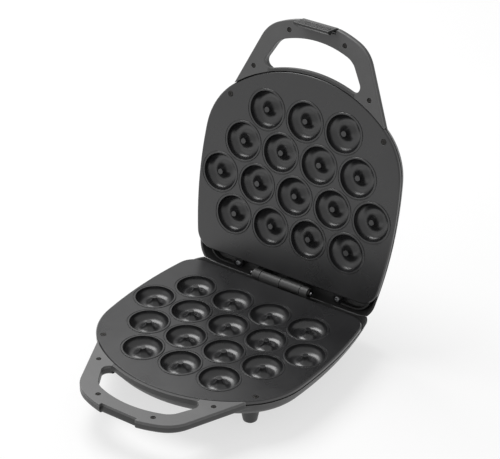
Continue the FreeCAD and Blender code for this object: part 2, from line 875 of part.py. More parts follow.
def shield_screws():
    length = shield_screw_length - fit_gap
    one = screw(shield_screw_head_radius, shield_screw_head_height, shield_screw_shank_radius, length)
    return [placed(one, across, reach, shield_top) for across, reach in on_both_sides(shield_post_places)]


def thermostat():
    """Disc thermostat that stands on the shield under a mould, with two flat terminals below."""
    place = thermostat_place()
    top = cup_bottom + tube_gap
    flange_top = shield_top - thermostat_flange
    solids = [
        post(place, thermostat_radius, top, flange_top),
        post(place, thermostat_flange_radius, flange_top, shield_top),
    ]
    wide, deep, tall = thermostat_terminal
    for side in (-0.5, 0.5):
        left = place[0] + side * thermostat_terminal_spacing - wide / 2
        rear = place[1] - deep / 2
        solids.append(box(left, left + wide, rear, rear + deep, flange_top, shield_top + tall))
    return joined(solids)


def thermal_fuse():
    """Fuse in its sleeve, lying on the shield."""
    across, reach = fuse_place
    half = fuse_length / 2
    return rod(fuse_radius, across - half, across + half, reach, shield_top - fuse_radius)


def terminal_block():
    """Two-way block on the casing floor."""
    long, deep, tall = block_size
    across, reach = block_place
    left = across - long / 2
    rear = reach - deep / 2
    body = box(left, left + long, rear, rear + deep, floor_depth - tall, floor_depth)
    return body.makeFillet(block_corner, edges_at(body, floor_depth - tall))


def lead(stops):
    """Insulated wire through a few points, with an arc of the lead's bend at each turn."""
    edges = []
    here = stops[0]
    for before, corner, after in zip(stops[:-2], stops[1:-1], stops[2:]):
        half_turn = (corner - before).getAngle(after - corner) / 2
        shorter = min((corner - before).Length, (after - corner).Length)
        trim = min(lead_bend * math.tan(half_turn), lead_trim_share * shorter)
        enter = along(corner, before, trim)
        leave = along(corner, after, trim)
        inside = trim / math.tan(half_turn) * (1 / math.cos(half_turn) - 1)
        middle = along(corner, (enter + leave) / 2, inside)
        edges.append(line(here, enter))
        edges.append(Part.Arc(enter, middle, leave).toShape())
        here = leave
    edges.append(line(here, stops[-1]))
    section = Part.Wire(Part.makeCircle(lead_radius, stops[0], stops[1] - stops[0]))
    return Part.Wire(edges).makePipeShell([section], True, False)


def element_leads():
    """A wire from each cold pin down to the terminal block."""
    tip = cold_end()[2] + Y_AXIS * cold_pin_length
    block_side = block_place[0] - block_size[0] / 2
    low = floor_depth - block_size[2] / 2
    leads = []
    for start, order in ((tip, 0.5), (mirrored(tip), -0.5)):
        reach = lead_drop_reach + order * lead_spacing
        entry = block_place[1] + order * lead_spacing
        down = point(start.x, reach, start.z - lead_bend)
        stops = [
            start,
            point(start.x, reach + lead_bend, start.z),
            down,
            point(start.x + lead_bend, reach, -low),
            point(block_side - 3 * lead_bend, reach, -low),
            point(block_side - lead_bend, entry, -low),
            point(block_side, entry, -low),
        ]
        leads.append(lead(stops))
    return leads


def mains_leads():
    """Two wires from the gland's inner end to the terminal block."""
    rear = block_place[1] - block_size[1] / 2
    low = floor_depth - block_size[2] / 2
    leads = []
    for side in (-0.5, 0.5):
        across = gland_across + side * lead_spacing
        middle = (gland_inner_reach + rear) / 2
        stops = [
            point(across, gland_inner_reach, -gland_depth),
            point(across, middle - lead_step, -gland_depth),
            point(across, middle + lead_step, -low),
            point(across, rear, -low),
        ]
        leads.append(lead(stops))
    return leads


def cord_gland():
    """Bush in the rear wall that the mains cord would pass through."""
    rear = -casing_overhang - gland_proud
    start = point(gland_across, rear, -gland_depth)
    collar = Part.makeCylinder(gland_collar_radius, casing_overhang, start, -Y_AXIS)
    collar = collar.cut(pan(0, -big))
    sleeve = Part.makeCylinder(gland_sleeve_radius, gland_inner_reach - rear, start, -Y_AXIS)
    bore = Part.makeCylinder(gland_bore_radius, big, start + Y_AXIS, -Y_AXIS)
    return joined([collar, sleeve]).cut(bore)


def foot_places():
    return both_sides(front_foot_place) + both_sides(rear_foot_place)


def foot_shapes():
    """A tapered foot, its rubber pad and its screw, about the middle of the foot."""
    tip = parting_height - pad_height + pad_sunk
    taper = (foot_top_radius - foot_tip_radius) / (tip - casing_depth)
    root = casing_depth - casing_wall
    root_radius = foot_top_radius + taper * (casing_depth - root)
    foot = Part.makeCone(foot_tip_radius, root_radius, tip - root, FreeCAD.Vector(0, 0, -tip))
    foot = foot.makeFillet(foot_tip_round, edges_at(foot, tip))
    seat = casing_depth + foot_screw_web
    foot = foot.cut(post((0, 0), pad_radius + screw_gap, tip - pad_sunk, big))
    foot = foot.cut(post((0, 0), foot_screw_head_radius + fit_gap, seat, big))
    foot = foot.cut(post((0, 0), foot_screw_shank_radius + screw_gap, 0, big))
    pad = post((0, 0), pad_radius, tip - pad_sunk, parting_height)
    length = foot_screw_web + casing_wall + foot_post_height - 2 * fit_gap
    bolt = screw(foot_screw_head_radius, foot_screw_head_height, foot_screw_shank_radius, length)
    bolt.rotate(ORIGIN, X_AXIS, 180)
    bolt.translate(FreeCAD.Vector(0, 0, -seat))
    return foot, pad, bolt


def lower_casing():
    """Base casing with foot posts, and a pillar of its rear wall that has the gland's hole."""
    shell = casing(catch_notch())
    post_top = floor_depth - foot_post_height
    solids = [shell]
    for place in foot_places():
        solids.append(post(place, foot_post_radius, post_top, casing_depth).common(pan(casing_wall / 2, 0)))
    shell = joined(solids)
    for place in foot_places():
        shell = shell.cut(post(place, foot_screw_shank_radius + screw_gap, post_top + fit_gap, big))
    start = point(gland_across, -casing_overhang - gland_proud, -gland_depth)
    length = gland_inner_reach + casing_overhang + gland_proud + fit_gap
    shell = shell.cut(Part.makeCylinder(gland_sleeve_radius + screw_gap, length, start, -Y_AXIS))
    around = gland_collar_radius + gland_pillar_margin
    pillar = box(gland_across - around, gland_across + around, -big, gland_inner_reach + fit_gap, -big, big)
    return [shell.cut(pillar), shell.common(pillar)]


def upper_casing():
    """Lid casing with the holes for its lamp lenses."""
    shell = casing(latch_notch())
    for place in lamp_places():
        shell = shell.cut(post(place, lens_radius + screw_gap, floor_depth - casing_wall, big))
    return shell


def lamp_places():
    return both_sides((lamp_spacing / 2, lamp_reach))


def lens(place):
    """Domed lens, pushed into the casing from outside."""
    dome = post(place, lens_flange_radius, casing_depth, casing_depth + lens_dome)
    dome = dome.makeFillet(lens_round, edges_at(dome, casing_depth + lens_dome))
    return joined([dome, post(place, lens_radius, floor_depth - lens_dome, casing_depth)])


def indicator_lamps():
    bottom = floor_depth - lens_dome
    return [post(place, lamp_radius, bottom - lamp_length, bottom) for place in lamp_places()]


def hinge_pin():
    half = hinge_half_length() + pin_overhang
    return rod(pin_radius, -half, half)


def hinge_half_length():
    return barrel_length + 1.5 * knuckle_gap + ear_length


def hinge_pin_caps():
    """Push-on caps that keep the pin in its knuckles."""
    left = hinge_half_length() + knuckle_gap / 2
    cap = rod(cap_radius, left, left + cap_thickness)
    outer = [edge for edge in cap.Edges if abs(edge.BoundBox.XMin - left - cap_thickness) < 0.001]
    cap = cap.makeFillet(cap_round, outer)
    cap = cap.cut(rod(pin_radius + screw_gap, 0, big))
    return [cap, cap.mirror(ORIGIN, X_AXIS)]


def latch():
    """Clip that hangs on its pin in the lid's notch, with a hook at its tip and grip ridges outside."""
    inner = catch_reach + 2 * fit_gap
    outer = inner + latch_wall
    tip_outer = outer - latch_lean
    hook_inner = catch_reach - hook_reach
    hook_top = catch_depth + hook_slack
    profile = [
        (inner, latch_pivot_depth),
        (outer, latch_pivot_depth - latch_wall / 2),
        (outer, 0.0),
        (tip_outer, -latch_tip),
        (inner - hook_lead, -latch_tip),
        (hook_inner, -hook_top - hook_height),
        (hook_inner, -hook_top - hook_lead),
        (hook_inner + hook_lead, -hook_top),
        (inner, -hook_top),
    ]
    half = latch_half_width
    clip = prism(profile, -half, half)
    tip_edges = [edge for edge in edges_at(clip, -latch_tip) if edge.BoundBox.XLength > half]
    clip = clip.makeFillet(latch_tip_round, tip_edges)
    solids = [clip, rod(latch_barrel_radius, -half, half, latch_pivot_reach, latch_pivot_depth)]
    ridge_half = half - ridge_end_gap
    for number in range(ridge_count):
        height = latch_tip - (number + 1) * ridge_pitch
        reach = outer - latch_lean * height / latch_tip
        solids.append(rod(ridge_radius, -ridge_half, ridge_half, reach, -height))
    clip = joined(solids)
    return clip.cut(rod(latch_pin_radius + running_gap, -big, big, latch_pivot_reach, latch_pivot_depth))


def latch_pin_half():
    return notch_half_width + latch_pin_bite


def latch_pin():
    half = latch_pin_half()
    return rod(latch_pin_radius, -half, half, latch_pivot_reach, latch_pivot_depth)


def half_parts(prefix):
    """The pieces that both halves share, by node name."""
    front_screws, rear_screws = plate_screws()
    notch_rear = {
        "lower": catch_reach - catch_slope,
        "upper": latch_pivot_reach - latch_barrel_radius - 2 * fit_gap,
    }
    return {
        prefix + "_plate": plate(),
        prefix + "_plate_screws": front_screws,
        prefix + "_tab_screws": rear_screws,
        prefix + "_handle_cover": [handle_cover(notch_rear[prefix])],
        prefix + "_handle_screws": handle_screws(),
        prefix + "_heating_element": [heating_element()],
        prefix + "_element_saddles": element_saddles(),
        prefix + "_heat_shield": [heat_shield(lamp_places() if prefix == "upper" else [])],
        prefix + "_shield_screws": shield_screws(),
        prefix + "_thermostat": [thermostat()],
        prefix + "_thermal_fuse": [thermal_fuse()],
        prefix + "_terminal_block": [terminal_block()],
        prefix + "_element_leads": element_leads(),
    }


def base_parts():
    nodes = half_parts("lower")
    nodes["lower_casing"] = lower_casing()
    foot, pad, bolt = foot_shapes()
    casing_solid = pan(0, -big)
    nodes["feet"] = [placed(foot, across, reach, 0).cut(casing_solid) for across, reach in foot_places()]
    nodes["foot_pads"] = [placed(pad, across, reach, 0) for across, reach in foot_places()]
    nodes["foot_screws"] = [placed(bolt, across, reach, 0) for across, reach in foot_places()]
    nodes["cord_gland"] = [cord_gland()]
    nodes["mains_leads"] = mains_leads()
    nodes["hinge_pin"] = [hinge_pin()]
    nodes["hinge_pin_caps"] = hinge_pin_caps()
    return nodes


def lid_parts():
    nodes = half_parts("upper")
    nodes["upper_casing"] = [upper_casing()]
    left, right = lamp_places()
    nodes["power_lamp_lens"] = [lens(left)]
    nodes["ready_lamp_lens"] = [lens(right)]
    nodes["indicator_lamps"] = indicator_lamps()
    nodes["latch_pin"] = [latch_pin()]
    nodes["latch"] = [latch()]
    return nodes


def open_lid(shape):
    """Turns a half over and swings it open about the hinge."""
    moved = shape.copy()
    moved.rotate(ORIGIN, Y_AXIS, 180)
    moved.rotate(ORIGIN, X_AXIS, -open_angle)
    return moved


def main():
    nodes = base_parts()
    for name, solids in lid_parts().items():
        nodes[name] = [open_lid(solid) for solid in solids]
    every = Part.makeCompound([solid for solids in nodes.values() for solid in solids])
    limits = every.optimalBoundingBox(False, False)
    lift = FreeCAD.Vector(0, -(limits.YMin + limits.YMax) / 2, parting_height)
    os.makedirs("parts", exist_ok=True)
    for name, solids in nodes.items():
        group = Part.makeCompound(solids) if len(solids) > 1 else solids[0]
        group.translate(lift)
        group.exportStep("parts/" + name + ".step")
        print(name, len(group.Solids), round(group.Volume), group.isValid())
    print("hinge axis at", lift.y, lift.z)


main()
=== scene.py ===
# %% [markdown]
# # Dressing a donut maker
# The real object is a table-top baking iron: two moulded shells on one hinge pin, each with a loop
# handle and a cast plate of ring moulds. The exact shapes come ready-made from CAD as a fixed frame.
# Blender's share is what a drawing cannot give: the coatings, the plastics, the rubber and the light.

# %% Load the frame
import json
import math
import bpy
from mathutils import Matrix, Vector
from mathutils.bvhtree import BVHTree


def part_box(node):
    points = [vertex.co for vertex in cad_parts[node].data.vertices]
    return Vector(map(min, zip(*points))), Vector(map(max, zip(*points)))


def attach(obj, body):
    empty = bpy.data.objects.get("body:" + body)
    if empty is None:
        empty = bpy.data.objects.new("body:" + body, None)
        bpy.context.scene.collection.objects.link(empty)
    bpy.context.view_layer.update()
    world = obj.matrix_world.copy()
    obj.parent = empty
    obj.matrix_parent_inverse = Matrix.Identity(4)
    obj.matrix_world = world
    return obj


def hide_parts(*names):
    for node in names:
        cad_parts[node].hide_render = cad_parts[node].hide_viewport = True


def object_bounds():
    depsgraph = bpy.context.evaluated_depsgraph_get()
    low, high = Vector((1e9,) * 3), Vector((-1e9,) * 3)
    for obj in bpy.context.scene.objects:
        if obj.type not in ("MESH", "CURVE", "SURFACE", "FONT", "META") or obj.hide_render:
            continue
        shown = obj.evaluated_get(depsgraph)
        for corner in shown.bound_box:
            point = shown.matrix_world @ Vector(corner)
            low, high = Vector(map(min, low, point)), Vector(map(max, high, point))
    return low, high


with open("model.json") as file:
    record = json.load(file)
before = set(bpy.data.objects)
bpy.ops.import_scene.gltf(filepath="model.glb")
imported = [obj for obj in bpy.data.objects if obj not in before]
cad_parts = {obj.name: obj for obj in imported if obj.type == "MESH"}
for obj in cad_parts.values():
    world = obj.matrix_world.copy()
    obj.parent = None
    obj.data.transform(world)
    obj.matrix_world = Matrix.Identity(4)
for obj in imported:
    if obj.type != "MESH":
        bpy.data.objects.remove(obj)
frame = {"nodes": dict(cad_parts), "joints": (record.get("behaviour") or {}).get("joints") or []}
cad_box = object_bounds()
cad_size = cad_box[1] - cad_box[0]
print("frame loaded:", len(frame["nodes"]), "pieces,", [round(side, 3) for side in cad_size], "m")

# %% [markdown]
# Everything in the scene is in metres, but a maker thinks of such an object in millimetres. One value
# turns one into the other, and the hinge axis, which the frame's joint list gives, is the landmark from
# which the camera is placed.

# %% Landmarks
MM = 0.001
hinge = next(Vector(joint["pos_m"]) for joint in frame["joints"] if joint["name"] == "lid_hinge")
print("hinge axis at", [round(value / MM, 1) for value in hinge], "mm")

# %% [markdown]
# The photograph was taken from the front right and from above, with a long lens, so that the far handle
# looks nearly as wide as the near one. A camera could be aimed by eye, but here its angles and distance
# were worked out from where the middles of the moulds fall in the picture, and the lens follows from
# how fast they shrink.

# %% Camera
camera_azimuth = math.radians(34.144)
camera_elevation = math.radians(30.467)
camera_roll = math.radians(0.64)
camera_from_hinge = Vector((981.6, -1511.6, 1129.8)) * MM
camera_data = bpy.data.cameras.new("camera")
camera_data.sensor_fit = "HORIZONTAL"
camera_data.sensor_width = 36.0
camera_data.lens = 135.7
camera_data.clip_end = 20.0
camera = bpy.data.objects.new("camera", camera_data)
bpy.context.scene.collection.objects.link(camera)
swing = Matrix.Rotation(camera_azimuth, 4, "Z")
tilt = Matrix.Rotation(math.pi / 2 - camera_elevation, 4, "X")
roll = Matrix.Rotation(camera_roll, 4, "Z")
camera.matrix_world = Matrix.Translation(hinge + camera_from_hinge) @ swing @ tilt @ roll
bpy.context.scene.camera = camera
print("camera", round(camera_from_hinge.length, 2), "m from the hinge")

# %% [markdown]
# An operator acts on whatever is selected, and loading the frame leaves all of it selected. The first
# helper leaves just one piece selected. The second clears the picks on the active piece's mesh, because
# a new primitive or a copy comes with all of its faces picked. The third looks for open edges, which
# are where a mesh would leak: on a closed skin every edge has two faces.

# %% Picking and checking
def alone(thing):
    """Leaves one thing selected and active."""
    bpy.ops.object.select_all(action="DESELECT")
    thing.select_set(True)
    bpy.context.view_layer.objects.active = thing


def clear_picks(kind):
    """Leaves no face or edge picked, so that some can then be picked in code."""
    bpy.ops.object.mode_set(mode="EDIT")
    bpy.ops.mesh.select_mode(type=kind)
    bpy.ops.mesh.select_all(action="DESELECT")
    bpy.ops.object.mode_set(mode="OBJECT")


def open_edges(piece):
    """Selects, in edit mode, the edges that don't have just two faces, and counts them."""
    bpy.ops.mesh.select_mode(type="EDGE")
    bpy.ops.mesh.select_all(action="DESELECT")
    bpy.ops.mesh.select_non_manifold(extend=False)
    piece.update_from_editmode()
    return sum(edge.select for edge in piece.data.edges)


alone(frame["nodes"]["latch"])
print("now selected:", [thing.name for thing in bpy.context.selected_objects])

# %% [markdown]
# **One-piece castings.** CAD keeps each mould plate as blocks that touch, one per mould, and the base
# shell with a separate pillar at the cord entry. The real ones are single castings and mouldings. They
# could be drawn afresh, but a copy of the node already has every curve, so the walls where two blocks
# meet are found and deleted, and the edges left behind are welded. A wall is a face with another face
# lying on it, back to back.

# %% Find the walls between blocks
touching = 0.005 * MM
back_to_back = -0.99    # two faces' normals have a dot product below this


def select_walls(mesh):
    """Selects the faces that lie on another face, back to back, and counts them."""
    corners = [spot.co for spot in mesh.vertices]
    skins = BVHTree.FromPolygons(corners, [face.vertices for face in mesh.polygons])
    for face in mesh.polygons:
        near = skins.find_nearest_range(face.center, touching)
        face.select = any(normal.dot(face.normal) < back_to_back
                          for spot, normal, number, distance in near)
    return sum(face.select for face in mesh.polygons)


print("faces closer than", touching / MM, "mm and back to back are walls")

# %% [markdown]
# The copy is a piece of its own: it loses the notes that tie it to the CAD node and rides on the same
# body. Welding joins corners that lie within a few thousandths of a millimetre. Where the two blocks
# were meshed differently a hairline crack stays open, and filling closes it.

# %% Weld touching blocks
weld_distance = 0.002 * MM
smooth_limit = math.radians(30)


def weld_blocks(node_name, piece_name, body):
    alone(frame["nodes"][node_name])
    bpy.ops.object.duplicate()
    piece = bpy.context.active_object
    piece.name = piece_name
    piece.data.name = piece_name
    for note in list(piece.keys()):
        del piece[note]
    bpy.ops.mesh.customdata_custom_splitnormals_clear()
    clear_picks("FACE")
    walls = select_walls(piece.data)
    bpy.ops.object.mode_set(mode="EDIT")
    bpy.ops.mesh.delete(type="FACE")
    bpy.ops.mesh.select_all(action="SELECT")
    bpy.ops.mesh.remove_doubles(threshold=weld_distance)
    cracks = open_edges(piece)
    bpy.ops.mesh.fill_holes(sides=0)
    left = open_edges(piece)
    bpy.ops.object.mode_set(mode="OBJECT")
    bpy.ops.object.shade_smooth_by_angle(angle=smooth_limit)
    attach(piece, body)
    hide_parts(node_name)
    print(piece_name, walls, "wall faces out,", cracks, "hairline edges closed,", left, "left open")
    return piece


base_casting = weld_blocks("lower_plate", "base_mould_casting", "base")
lid_casting = weld_blocks("upper_plate", "lid_mould_casting", "lid")
base_shell = weld_blocks("lower_casing", "base_shell", "base")

# %% [markdown]
# **Ribbed foot pads.** The rubber pads under the feet grip a wet worktop with rings, like a small tyre.
# A pad could be turned from a profile with Spin, but the rings are few and flat, so a disc is taken and
# its underside is inset and pushed up and down by turns. One pad is modelled at the origin.

# %% A disc with rings
pad_radius = 5.6 * MM
pad_height = 2.6 * MM
pad_sides = 64
ring_count = 2
ring_width = 1.1 * MM
ring_gap = 0.9 * MM
ring_depth = 0.5 * MM
facing_down = -0.9      # the z of a face's normal is below this
bpy.ops.object.select_all(action="DESELECT")
bpy.ops.mesh.primitive_cylinder_add(vertices=pad_sides, radius=pad_radius, depth=pad_height,
                                    location=(0, 0, pad_height / 2))
pad = bpy.context.active_object
bpy.ops.object.transform_apply(location=True)
clear_picks("FACE")
for face in pad.data.polygons:
    face.select = face.normal.z < facing_down
bpy.ops.object.mode_set(mode="EDIT")
for ring in range(ring_count):
    bpy.ops.mesh.inset(thickness=ring_width)
    bpy.ops.mesh.extrude_region_move(TRANSFORM_OT_translate={"value": (0, 0, ring_depth)})
    bpy.ops.mesh.inset(thickness=ring_gap)
    bpy.ops.mesh.extrude_region_move(TRANSFORM_OT_translate={"value": (0, 0, -ring_depth)})
bpy.ops.object.mode_set(mode="OBJECT")
print("pad with", ring_count, "grooves,", len(pad.data.polygons), "faces")

# %% [markdown]
# Rubber leaves its mould with a soft rim, because a sharp corner in the mould would not fill. The edges
# of the pad's lower rim are selected by their place, low and far from the middle, and bevelled.

# %% Round the pad's rim
rim_round = 0.4 * MM
rim_steps = 3
rim_starts = pad_radius - ring_width / 2
clear_picks("EDGE")
for edge in pad.data.edges:
    ends = [pad.data.vertices[number].co for number in edge.vertices]
    edge.select = all(end.z < touching and end.xy.length > rim_starts for end in ends)
rim_edges = sum(edge.select for edge in pad.data.edges)
bpy.ops.object.mode_set(mode="EDIT")
bpy.ops.mesh.bevel(offset=rim_round, segments=rim_steps, affect="EDGES")
leaks = open_edges(pad)
bpy.ops.object.mode_set(mode="OBJECT")
bpy.ops.object.shade_smooth_by_angle(angle=smooth_limit)
pad_size = [round(side / MM, 2) for side in pad.dimensions]
print(rim_edges, "rim edges rounded,", leaks, "open edges, pad", pad_size, "mm")

# %% [markdown]
# The four feet wear the same pad. Linked copies would share one mesh, but each piece has to hold its
# own place in its mesh, so each copy is a full one, moved to its foot and then applied. The plain CAD
# pads give the places.

# %% Four pads
pads_low, pads_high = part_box("foot_pads")
across = pads_high.x - pad_radius
pad_places = {"foot_pad_front_left": (-across, pads_low.y + pad_radius),
              "foot_pad_front_right": (across, pads_low.y + pad_radius),
              "foot_pad_rear_left": (-across, pads_high.y - pad_radius),
              "foot_pad_rear_right": (across, pads_high.y - pad_radius)}
foot_pads = []
for name, (x, y) in pad_places.items():
    alone(pad)
    bpy.ops.object.duplicate()
    copy = bpy.context.active_object
    copy.name = name
    copy.location = (x, y, pads_low.z)
    bpy.ops.object.transform_apply(location=True)
    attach(copy, "base")
    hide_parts("foot_pads")
    foot_pads.append(copy)
bpy.data.objects.remove(pad)
print(len(foot_pads), "pads,", round(2 * across / MM), "mm apart")

# %% [markdown]
# Colours are picked on screen as sRGB values, while the renderer adds up light on a linear scale. One
# function does the step from the first to the second. A second one adds a shader node, fills in its
# sockets and ties its links, so that each material below reads as a short list of what it is made of.

# %% Colour and node helpers
def linear(code):
    """A hex colour in linear light. The numbers are those of the sRGB standard."""
    channels = [int(code[place:place + 2], 16) / 255 for place in (1, 3, 5)]
    steps = [c / 12.92 if c <= 0.04045 else ((c + 0.055) / 1.055) ** 2.4 for c in channels]
    return (*steps, 1.0)


def add_node(tree, kind, sockets=None, links=None, **settings):
    """Adds a node. A link is named for its socket here and gives the other node and its output."""
    node = tree.nodes.new(kind)
    for name, value in settings.items():
        setattr(node, name, value)
    for name, value in (sockets or {}).items():
        node.inputs[name].default_value = value
    for name, (source, output) in (links or {}).items():
        tree.links.new(source.outputs[output], node.inputs[name])
    return node


print("mid grey in linear light:", round(linear("#808080")[0], 3))

# %% [markdown]
# Every finish here starts the same way: a Principled shader joined to the output, and the object's own
# coordinates, which are metres from the floor's middle. The first function lays out just those three
# nodes under a name, and fills in what is the same all over, such as the index of refraction. Noise and
# cells are sized from the real grain: a pattern of so many millimetres has a scale of one over that.
# The last two helpers hand a finish to pieces, and name a piece that both halves have.

# %% Start of a material
def new_material(name, sockets=None):
    material = bpy.data.materials.new(name)
    material.use_nodes = True
    tree = material.node_tree
    tree.nodes.clear()
    shader = add_node(tree, "ShaderNodeBsdfPrincipled", sockets)
    add_node(tree, "ShaderNodeOutputMaterial", links={"Surface": (shader, "BSDF")})
    place = add_node(tree, "ShaderNodeTexCoord")
    return material, tree, shader, place


def per_size(millimetres):
    return 1.0 / (millimetres * MM)


def dress(finish, *things):
    """Gives a finish to pieces, or to CAD nodes by name."""
    for thing in things:
        piece = frame["nodes"][thing] if isinstance(thing, str) else thing
        piece.data.materials.clear()
        piece.data.materials.append(finish["material"])
    print(finish["material"].name, "on", len(things), "pieces")


def both_halves(*names):
    return [half + name for name in names for half in ("lower_", "upper_")]


print("a grain of 0.9 mm has scale", round(per_size(0.9)))
print("the two halves have", both_halves("thermostat"))

# %% [markdown]
# Moulded and cast surfaces have a common build: two close tones in a fine grain, a sheen that drifts in
# larger patches, and the grain as a slight relief. Sharp edges are never quite sharp on a moulding, so
# a Bevel node rounds the light that falls on them. Outer edges are also painted paler, partly as rubbed
# wear and partly as a painted highlight where they would catch the light. They could be painted by
# hand, but an Ambient Occlusion node that looks inwards finds them: close under an outer edge lies the
# next face, under a flat one none.

# %% Grained finish
grain_detail, patch_detail = 2.0, 3.0
grain_strength = 0.2
noise_low, noise_high = 0.3, 0.7    # nearly all of a noise lies between these
edge_samples = 4
rub_and_highlight_reach = 2.0         # how far the paler edge, rub and painted highlight, runs in from an edge, in edge roundings
rub_and_highlight_none, rub_and_highlight_full = 0.9, 0.5       # how open the inside is where the paler edge starts, and where it is full


def grained(name, tones, grain_width, patch_width, roughness, relief, edge_round, sockets=None):
    """Two tones for the grain and one for paler edges, rubbed wear and painted highlight. All widths
    are in millimetres.
    """
    material, tree, shader, place = new_material(name, sockets)
    grain = add_node(tree, "ShaderNodeTexNoise",
                     {"Scale": per_size(grain_width), "Detail": grain_detail},
                     {"Vector": (place, "Object")})
    patch = add_node(tree, "ShaderNodeTexNoise",
                     {"Scale": per_size(patch_width), "Detail": patch_detail},
                     {"Vector": (place, "Object")})
    mottle = add_node(tree, "ShaderNodeMix", {"A": linear(tones[0]), "B": linear(tones[1])},
                      {"Factor": (grain, "Fac")}, data_type="RGBA")
    # Outer edges are painted paler, partly as rubbed wear and partly as a painted highlight.
    under = add_node(tree, "ShaderNodeAmbientOcclusion", {"Distance": rub_and_highlight_reach * edge_round * MM},
                     samples=edge_samples, inside=True, only_local=True)
    rub_and_highlight = add_node(tree, "ShaderNodeMapRange",
                   {"From Min": rub_and_highlight_none, "From Max": rub_and_highlight_full, "To Min": 0.0, "To Max": 1.0},
                   {"Value": (under, "AO")})
    tone = add_node(tree, "ShaderNodeMix", {"B": linear(tones[2])},
                    {"A": (mottle, "Result"), "Factor": (rub_and_highlight, "Result")}, data_type="RGBA")
    polish = add_node(tree, "ShaderNodeMapRange",
                      {"From Min": noise_low, "From Max": noise_high,
                       "To Min": roughness[0], "To Max": roughness[1]},
                      {"Value": (patch, "Fac")})
    edge = add_node(tree, "ShaderNodeBevel", {"Radius": edge_round * MM}, samples=edge_samples)
    bump = add_node(tree, "ShaderNodeBump", {"Strength": grain_strength, "Distance": relief * MM},
                    {"Height": (grain, "Fac"), "Normal": (edge, "Normal")})
    tree.links.new(tone.outputs["Result"], shader.inputs["Base Color"])
    tree.links.new(polish.outputs["Result"], shader.inputs["Roughness"])
    tree.links.new(bump.outputs["Normal"], shader.inputs["Normal"])
    return {"material": material, "tree": tree, "colour": shader.inputs["Base Color"], "place": place,
            "grain": grain, "patch": patch, "tone": tone, "bump": bump}


print("a rub runs", rub_and_highlight_reach, "edge roundings inwards")

# %% [markdown]
# **Non-stick coat.** The mould plates are die-cast aluminium, sprayed with a dark resin that carries
# fluoropolymer, and baked. The eye sees a near-black satin that mirrors its surroundings softly, a
# faint ripple from the spray, and tiny mineral flakes. The sheen is the binder resin's, so its index of
# about 1.63 goes in. Flakes painted on an image would be tied to one size, so cells draw them, scaled
# from the grain.

# %% Non-stick coat
flake_width = 1.1       # the real flakes are near 0.3 mm, drawn coarser so that they show
flake_core, flake_rim = 0.05, 0.28  # how far from a cell's middle a flake is full, and where it ends
flake_cover = 0.3
coating = grained("nonstick_resin_coat", ("#18181a", "#1e1e1f", "#303031"), grain_width=2.6,
                  patch_width=45.0, roughness=(0.25, 0.33), relief=0.08, edge_round=0.4,
                  sockets={"IOR": 1.63})
tree = coating["tree"]
flakes = add_node(tree, "ShaderNodeTexVoronoi", {"Scale": per_size(flake_width)},
                  {"Vector": (coating["place"], "Object")})
flake = add_node(tree, "ShaderNodeMapRange",
                 {"From Min": flake_core, "From Max": flake_rim, "To Min": flake_cover, "To Max": 0.0},
                 {"Value": (flakes, "Distance")})
flecked = add_node(tree, "ShaderNodeMix", {"B": linear("#464645")},
                   {"A": (coating["tone"], "Result"), "Factor": (flake, "Result")}, data_type="RGBA")
tree.links.new(flecked.outputs["Result"], coating["colour"])
dress(coating, base_casting, lid_casting)

# %% [markdown]
# **Phenolic shell.** Casings near a heater are moulded in a black thermoset that does not soften. The
# mould's spark-eroded face leaves a fine matt grain, so the plastic looks charcoal rather than black,
# and handling polishes it in soft patches. The same resin makes the feet.

# %% Phenolic shell
eroded_grain = 0.9      # near 0.2 mm on the real shell, drawn coarser so that it shows
phenolic = grained("moulded_phenolic", ("#343434", "#3e3e3e", "#505050"), grain_width=eroded_grain,
                   patch_width=60.0, roughness=(0.42, 0.54), relief=0.08, edge_round=0.5,
                   sockets={"IOR": 1.55})
dress(phenolic, base_shell, "upper_casing", "feet")

# %% [markdown]
# **Filled nylon.** The handle covers are a separate moulding in a stiffer, greyer plastic with glass
# fibre in it. It takes the light more evenly than the shell: a mid grey with a very fine tooth, a
# little lighter where hands rub it. A second mix, driven by the large patches, lays that on over the
# grain.

# %% Filled nylon
fibre_tooth = 0.8       # near 0.15 mm on the real cover, drawn coarser so that it shows
handled_low, handled_high = 0.45, 0.75      # the patch noise where handling starts and where it is full
handled_cover = 0.6
nylon = grained("glass_filled_nylon", ("#5a5a5a", "#666666", "#787878"), grain_width=fibre_tooth,
                patch_width=35.0, roughness=(0.4, 0.5), relief=0.06, edge_round=0.5,
                sockets={"IOR": 1.53})
tree = nylon["tree"]
handled = add_node(tree, "ShaderNodeMapRange",
                   {"From Min": handled_low, "From Max": handled_high,
                    "To Min": 0.0, "To Max": handled_cover},
                   {"Value": (nylon["patch"], "Fac")})
worn = add_node(tree, "ShaderNodeMix", {"B": linear("#6c6c6c")},
                {"A": (nylon["tone"], "Result"), "Factor": (handled, "Result")}, data_type="RGBA")
tree.links.new(worn.outputs["Result"], nylon["colour"])
dress(nylon, *both_halves("handle_cover"))

# %% [markdown]
# **Acetal latch.** A latch that snaps thousands of times is moulded in acetal, a slippery plastic with
# a waxy gloss. It is dyed darker than the covers, and its finger ridges catch thin lines of light, so
# its edges stay crisp.

# %% Acetal latch
flow_grain = 0.8        # near 0.1 mm on the real latch, drawn coarser so that it shows
acetal = grained("black_acetal", ("#212121", "#292929", "#3c3c3c"), grain_width=flow_grain,
                 patch_width=18.0, roughness=(0.22, 0.32), relief=0.03, edge_round=0.15,
                 sockets={"IOR": 1.48})
dress(acetal, "latch")
